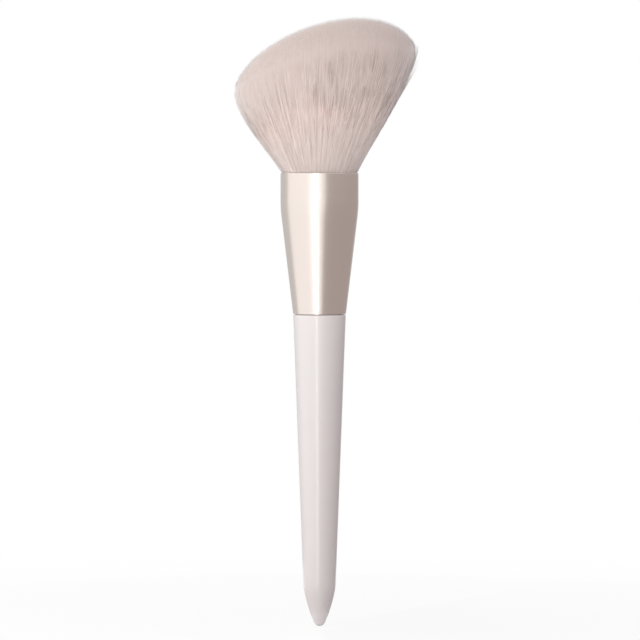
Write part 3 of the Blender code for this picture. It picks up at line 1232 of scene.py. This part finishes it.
    def build_core(self, finish: PbtFilament) -> bpy.types.Object:
        """Models the mass of hairs that lie packed under the loose ones, as one closed form.

        Args:
            finish: The hairs' finish.

        Returns:
            The core.
        """
        sides = self.core_sides
        turns = 2 * math.pi * np.arange(sides) / sides
        lengths = np.full(sides, self.core_length)
        rings = []
        for share, reach in self.core_path():
            u, v = (reach * np.cos(turns))[:, None], (reach * np.sin(turns))[:, None]
            rings.append(self.form.lines(u, v, np.array([share]), lengths)[:, 0, :])
        zero = np.zeros((1, 1))
        top = self.form.lines(zero, zero, np.array([1.0]), lengths[:1])[:, 0, :]
        foot = self.form.lines(zero, zero, np.array([0.0]), lengths[:1])[:, 0, :]
        points = np.concatenate([*rings, top, foot])
        apart = [np.linalg.norm(after - ring, axis=1).mean() for ring, after in zip(rings, [*rings[1:], top])]
        runs = np.cumsum([0.0, *apart])
        rows = [list(range(at * sides, (at + 1) * sides)) for at in range(len(rings))]
        rows = [[len(points) - 1], *rows, [len(points) - 2]]
        piece = put_mesh("packed_hair", points, *skin(rows, [self.foot_place, *(runs / runs[-1])]))
        piece.data.shade_smooth()
        piece.data.normals_split_custom_set_from_vertices(self.form.facing(points))
        # The packed finish darkens the core with painted shade
        material = finish.packed_shaded_material(2 * math.pi * self.form.half_depth, float(runs[-1]))
        return settle(piece, material, ["bristle_tuft"])

    def build(self, finish: PbtFilament) -> list[bpy.types.Object]:
        """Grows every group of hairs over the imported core.

        Args:
            finish: The hairs' finish.

        Returns:
            The pieces of the tuft.
        """
        material = finish.material()
        core = self.build_core(finish)
        return [core, *(self.build_group(group, material) for group in self.groups())]


@dataclass
class BoundRoot:
    """The hairs' packed root inside the ferrule, and the thread wound round it.

    The bottom and top are the root's heights. The thread's box comes from the construction, which
    winds it as many turns from its low edge to its high one.
    """

    radius: float
    bottom: float
    top: float
    thread_low: float
    thread_high: float
    thread_radius: float = 0.26 * MM
    turns: int = 3
    plies: int = 2
    ply_twist: float = 1.8 * MM
    ply_sides: int = 6
    steps: int = 720
    longest_face: float = 1.5 * MM

    def build_slab(self, finish: PbtFilament) -> bpy.types.Object:
        """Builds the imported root, with the groove that the thread draws into it.

        Args:
            finish: The hairs' finish.

        Returns:
            The slab.
        """
        neck = self.radius - 2 * self.thread_radius - SEAT_GAP
        low, high = self.thread_low - SEAT_GAP, self.thread_high + SEAT_GAP
        outline = [(0.0, self.bottom), (self.radius, self.bottom), (self.radius, low), (neck, low)]
        outline += [(neck, high), (self.radius, high), (self.radius, self.top), (0.0, self.top)]
        piece = turned("packed_root", refine(outline, self.longest_face))
        # The packed finish darkens the slab with painted shade
        material = finish.packed_shaded_material(2 * math.pi * self.radius, self.top - self.bottom)
        return settle(piece, material, ["bristle_tuft"])

    def build_thread(self, finish: CottonThread) -> bpy.types.Object:
        """Winds the thread, as plies that twist about each other.

        Args:
            finish: The thread's finish.

        Returns:
            The thread.
        """
        winding = self.radius - self.thread_radius
        low, high = self.thread_low + self.thread_radius, self.thread_high - self.thread_radius
        ply_radius, sides = self.thread_radius / 2, self.ply_sides
        shares = np.arange(self.steps + 1) / self.steps
        angles = 2 * math.pi * self.turns * shares
        outward = np.stack([np.cos(angles), np.sin(angles), np.zeros_like(angles)], axis=-1)
        centres = winding * outward
        centres[:, 2] = low + (high - low) * shares
        twist = 2 * math.pi * (winding * angles) / self.ply_twist
        cap = [(0.5 + 0.5 * math.cos(side), 0.5 + 0.5 * math.sin(side)) for side in range(sides)]
        points: list[np.ndarray] = []
        faces: list[list[int]] = []
        places: Outline = []
        for ply in range(self.plies):
            turn = twist + 2 * math.pi * ply / self.plies
            middles = centres + ply_radius * self.around(turn, outward)
            starts = (len(points) + np.arange(sides)) * (self.steps + 1)
            for side in range(sides):
                corner = np.full_like(turn, 2 * math.pi * side / sides)
                points.append(middles + ply_radius * self.around(corner, outward))
            rows = [(starts + step).tolist() for step in range(self.steps + 1)]
            ply_faces, ply_places = skin(rows, shares)
            faces += [*ply_faces, rows[0][::-1], rows[-1]]
            places += [*ply_places, *cap, *cap]
        piece = put_mesh("root_thread", np.concatenate(points), faces, places)
        piece.data.shade_smooth()
        return settle(piece, finish.material(), ["root_binding"])

    @staticmethod
    def around(turn: np.ndarray, outward: np.ndarray) -> np.ndarray:
        """Unit steps from a winding's centre line, square to it.

        Args:
            turn: The turn of each step about the line.
            outward: The directions away from the root's axis.

        Returns:
            One direction for each turn.
        """
        return np.cos(turn)[:, None] * outward + np.sin(turn)[:, None] * np.array([[0.0, 0.0, 1.0]])


@dataclass(frozen=True)
class Bonds:
    """The glue round the tenon and the resin behind the tuft, which the ferrule hides."""

    glue: CuredAdhesive = CuredAdhesive("set_wood_glue", ((0.1, "F7F3E8"), (0.3, "EFE9D8")), 0.5, 0.6 * MM)
    resin: CuredAdhesive = CuredAdhesive("cured_epoxy", ((0.1, "F1EAD8"), (0.3, "E8DFC8")), 0.2, 0.8 * MM)

    def dress(self) -> None:
        """Gives the construction's own nodes their finishes."""
        for name, finish in (("tenon_glue", self.glue), ("root_resin", self.resin)):
            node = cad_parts[name]
            node.data.materials.clear()
            node.data.materials.append(finish.material())
            LOG.info("%s: dressed", name)


@dataclass(frozen=True)
class Card:
    """A curved card that stands or lies round the brush, which only light and gloss meet.

    The span is its first and last turn from the camera's side, in degrees, right turns positive.
    The radii and heights are those of its two long edges, the light is 1 where it is white, and
    the leans say how far its first and last edge lean, in degrees a metre of height.
    """

    name: str
    span: Span
    light: float
    radii: Span
    heights: Span
    tint: str = WHITE
    leans: Span = (0.0, 0.0)


@dataclass(frozen=True)
class Fill:
    """A small gridded softbox that aims at a height on the brush's axis.

    The turn is from the camera's side, right turns positive, and the rise is above the level, both
    in degrees. The power is in watts.
    """

    name: str
    power: float
    turn: float
    rise: float
    target: float
    distance: float = 0.45
    size: float = 0.05
    spread: float = 22.0


def empty_tree(owner: bpy.types.Material | bpy.types.World) -> bpy.types.NodeTree:
    """Gives a material or a world an empty node tree.

    Args:
        owner: The material or world.

    Returns:
        The node tree.
    """
    owner.use_nodes = True
    owner.node_tree.nodes.clear()
    return owner.node_tree


def seen(tree: bpy.types.NodeTree) -> bpy.types.Node:
    """Adds nodes that give 1 to camera, glossy and transmission rays, and 0 to the rest.

    Args:
        tree: A stage material's or the world's node tree.

    Returns:
        The node whose output is that number.
    """
    rays = add_node(tree, "LightPath").outputs
    either = {0: rays["Is Camera Ray"], 1: rays["Is Glossy Ray"]}
    camera_or_gloss = add_node(tree, "Math", either, operation="MAXIMUM")
    any_of_them = {0: camera_or_gloss, 1: rays["Is Transmission Ray"]}
    return add_node(tree, "Math", any_of_them, operation="MAXIMUM")


@dataclass
class Studio:
    """A light tent: a white world and floor, white cards at the camera's left, grey at its right.

    A narrow bright card gives the metal its highlight. Two flags close over the floor keep its
    white off the handle's point, and three fills light the tuft.
    """

    floor_radius: float = 1.5
    floor_height: float = 0.0
    floor_sides: int = 64
    floor_reflectance: float = 0.75
    shadow_span: Span = (0.04, 0.25)
    shadow_glow: float = 0.88
    ambient: float = 1.0
    near_radius: float = 0.16
    far_radius: float = 0.30
    strip_radius: float = 0.06
    flag_radius: float = 0.008
    left_flag_reach: float = 0.05
    card_height: float = 0.16
    tent_height: float = 0.45
    card_steps: int = 24
    lean: float = 110.0
    tuft_target: float = 0.162
    root_target: float = 0.148

    def set_world(self) -> None:
        """Makes the world white to the eye and to gloss, and a plain ambient light otherwise."""
        world = bpy.data.worlds.new("tent")
        tree = empty_tree(world)
        strength = add_node(tree, "MapRange", {"Value": seen(tree), "To Min": self.ambient, "To Max": 1.0})
        white = add_node(tree, "Background", {"Color": linear(WHITE), "Strength": strength})
        add_node(tree, "OutputWorld", {"Surface": white})
        bpy.context.scene.world = world

    def add_floor(self) -> None:
        """Lays a round white floor, which keeps a faint shadow near the brush."""
        sides = self.floor_sides
        points = [(0.0, 0.0, self.floor_height)]
        for side in range(sides):
            turn = 2 * math.pi * side / sides
            spot = (self.floor_radius * math.cos(turn), self.floor_radius * math.sin(turn))
            points.append((*spot, self.floor_height))
        faces = [[0, 1 + side, 1 + (side + 1) % sides] for side in range(sides)]
        floor = put_mesh("floor", np.array(points), faces, [(0.0, 0.0)] * 3 * sides)
        material = bpy.data.materials.new("white_sweep")
        tree = empty_tree(material)
        place = add_node(tree, "TexCoord").outputs["Object"]
        away = add_node(tree, "VectorMath", {0: place}, operation="LENGTH").outputs["Value"]
        near = {"Value": away, "From Min": self.shadow_span[0], "From Max": self.shadow_span[1]}
        share = add_node(tree, "MapRange", {**near, "To Min": self.shadow_glow, "To Max": 1.0})
        glow_share = add_node(tree, "Math", {0: share, 1: seen(tree)}, operation="MULTIPLY")
        grey = (self.floor_reflectance, self.floor_reflectance, self.floor_reflectance, 1.0)
        sheet = add_node(tree, "BsdfDiffuse", {"Color": grey})
        glow = add_node(tree, "Emission", {"Color": linear(WHITE), "Strength": 1.0})
        mixed = add_node(tree, "MixShader", {0: glow_share, 1: sheet, 2: glow})
        add_node(tree, "OutputMaterial", {"Surface": mixed})
        floor.data.materials.append(material)

    def add_card(self, card: Card) -> None:
        """Makes a card as a glowing sheet.

        Args:
            card: The card's places and light.
        """
        steps = self.card_steps
        points = []
        for step in range(steps + 1):
            share = step / steps
            foot = card.span[0] + (card.span[1] - card.span[0]) * share
            lean = card.leans[0] + (card.leans[1] - card.leans[0]) * share
            for radius, height in zip(card.radii, card.heights):
                turn = math.radians(foot + lean * height)
                points.append((radius * math.sin(turn), -radius * math.cos(turn), height))
        faces = [[2 * at, 2 * at + 2, 2 * at + 3, 2 * at + 1] for at in range(steps)]
        sheet = put_mesh(card.name, np.array(points), faces, [(0.0, 0.0)] * 4 * steps)
        material = bpy.data.materials.new(card.name)
        tree = empty_tree(material)
        glow = add_node(tree, "Emission", {"Color": linear(card.tint), "Strength": card.light})
        add_node(tree, "OutputMaterial", {"Surface": glow})
        sheet.data.materials.append(material)
        sheet.visible_camera = False
        sheet.visible_shadow = False

    def add_fill(self, fill: Fill) -> None:
        """Hangs a gridded softbox, which lights the tuft alone and shows in no gloss.

        Args:
            fill: The softbox's place and light.
        """
        lamp = bpy.data.lights.new(fill.name, "AREA")
        lamp.shape = "SQUARE"
        lamp.size = fill.size
        lamp.spread = math.radians(fill.spread)
        lamp.energy = fill.power
        box = bpy.data.objects.new(fill.name, lamp)
        turn, rise = math.radians(fill.turn), math.radians(fill.rise)
        level = fill.distance * math.cos(rise)
        height = fill.target + fill.distance * math.sin(rise)
        box.location = (level * math.sin(turn), -level * math.cos(turn), height)
        aim = Vector((0.0, 0.0, fill.target)) - box.location
        box.rotation_euler = aim.to_track_quat("-Z", "Y").to_euler()
        box.visible_camera = False
        box.visible_glossy = False
        bpy.context.scene.collection.objects.link(box)

    def cards(self) -> list[Card]:
        """Lists the cards.

        Returns:
            The near ones from the camera's left round to its back, the flags among them, and then
            the upper ones.
        """
        low, high, floor = (0.0, self.card_height), (self.card_height, self.tent_height), (MM, MM)
        near, far = (self.near_radius,) * 2, (self.far_radius,) * 2
        strip = (self.strip_radius,) * 2
        flag, left_flag = (self.flag_radius, self.near_radius), (self.flag_radius, self.left_flag_reach)
        return [
            Card("left_card", (-105.0, -31.0), 1.02, near, low),
            Card("band_card_left", (-31.0, -13.5), 1.18, near, low),
            Card("strip_card", (-13.5, -10.0), 5.0, strip, low),
            Card("band_card_right", (-10.0, -7.4), 1.18, near, low, leans=(0.0, self.lean)),
            Card("band_edge_card", (-7.4, -4.9), 0.7, near, low, leans=(self.lean, self.lean)),
            Card("side_card", (2.4, 150.0), 0.425, near, low, "FCF0EC", (self.lean, 0.0)),
            Card("floor_flag", (2.4, 150.0), 0.49, flag, floor, "F8F4F8"),
            Card("left_floor_flag", (-150.0, -15.0), 0.68, left_flag, floor, "FFF8F8"),
            Card("back_card", (150.0, 255.0), 0.60, near, low),
            Card("upper_left_card", (-130.0, -45.0), 1.7, far, high),
            Card("upper_front_card", (-45.0, 10.0), 1.4, far, high),
            Card("upper_side_card", (20.0, 150.0), 1.05, far, high, "F6F8FF"),
        ]

    def fills(self) -> list[Fill]:
        """Lists the softboxes.

        Returns:
            The fills on the tuft's front, on its high side and low on its low side.
        """
        return [
            Fill("front_fill", 0.0021, -8.0, -8.0, self.tuft_target),
            Fill("right_fill", 0.0030, 30.0, -8.0, self.tuft_target),
            Fill("low_fill", 0.0012, -75.0, -30.0, self.root_target, distance=0.25),
        ]

    def build(self) -> None:
        """Sets the whole stage."""
        self.set_world()
        self.add_floor()
        for card in self.cards():
            self.add_card(card)
        for fill in self.fills():
            self.add_fill(fill)
        bpy.context.scene.view_settings.view_transform = "Standard"


@dataclass
class PhotoCamera:
    """A level camera with a long lens, set so that the brush lies on the photograph's pixels."""

    frame_pixels: float = 640.0
    pixel_size: float = 0.2953 * MM
    axis_pixel: float = 319.55
    point_pixel: float = 627.0
    distance: float = 1.2
    rise: float = math.radians(2.0)
    sensor: float = 36.0

    def build(self) -> bpy.types.Object:
        """Places the camera and makes it the scene's own.

        Returns:
            The camera.
        """
        data = bpy.data.cameras.new("photo_camera")
        data.sensor_width = self.sensor
        data.lens = self.sensor * self.distance / (self.frame_pixels * self.pixel_size)
        camera = bpy.data.objects.new("photo_camera", data)
        middle = self.frame_pixels / 2
        camera.location = (
            (middle - self.axis_pixel) * self.pixel_size,
            -self.distance * math.cos(self.rise),
            (self.point_pixel - middle) * self.pixel_size + self.distance * math.sin(self.rise),
        )
        camera.rotation_euler = (math.pi / 2 - self.rise, 0.0, 0.0)
        bpy.context.scene.collection.objects.link(camera)
        bpy.context.scene.camera = camera
        return camera


def main() -> None:
    """Sets the camera and the stage, then builds the brush round its frame."""
    logging.basicConfig(level=logging.INFO, format="%(message)s")
    PhotoCamera().build()
    Studio().build()
    _, handle_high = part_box("handle")
    ferrule_low, ferrule_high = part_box("ferrule")
    root_low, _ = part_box("bristle_tuft")
    thread_low, thread_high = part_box("root_binding")
    ferrule = Ferrule(
        tail_height=ferrule_low.z,
        mouth_height=ferrule_high.z,
        mouth_radius=ferrule_high.x,
        tail_radius=handle_high.x + HANDLE_STEP,
    )
    handle = Handle(
        shoulder_height=ferrule_low.z - SEAT_GAP,
        top_radius=handle_high.x,
        tenon_top=handle_high.z,
        tenon_radius=ferrule.tail_radius - ferrule.wall - GLUE_THICKNESS - 2 * SEAT_GAP,
    )
    root = BoundRoot(
        radius=thread_high.x,
        bottom=root_low.z,
        top=ferrule.mouth_height - ROOT_DEPTH,
        thread_low=thread_low.z,
        thread_high=thread_high.z,
    )
    form = TuftForm(
        mouth_height=ferrule.mouth_height,
        root_height=ferrule.mouth_height - ROOT_DEPTH,
        root_radius=ferrule.mouth_radius - ferrule.wall - SEAT_GAP,
    )
    ferrule.build(AnodisedAluminium())
    handle.build(LacqueredBeech())
    root.build_slab(PbtFilament())
    root.build_thread(CottonThread())
    Tuft(form).build(PbtFilament())
    Bonds().dress()


if __name__ == "__main__":
    main()
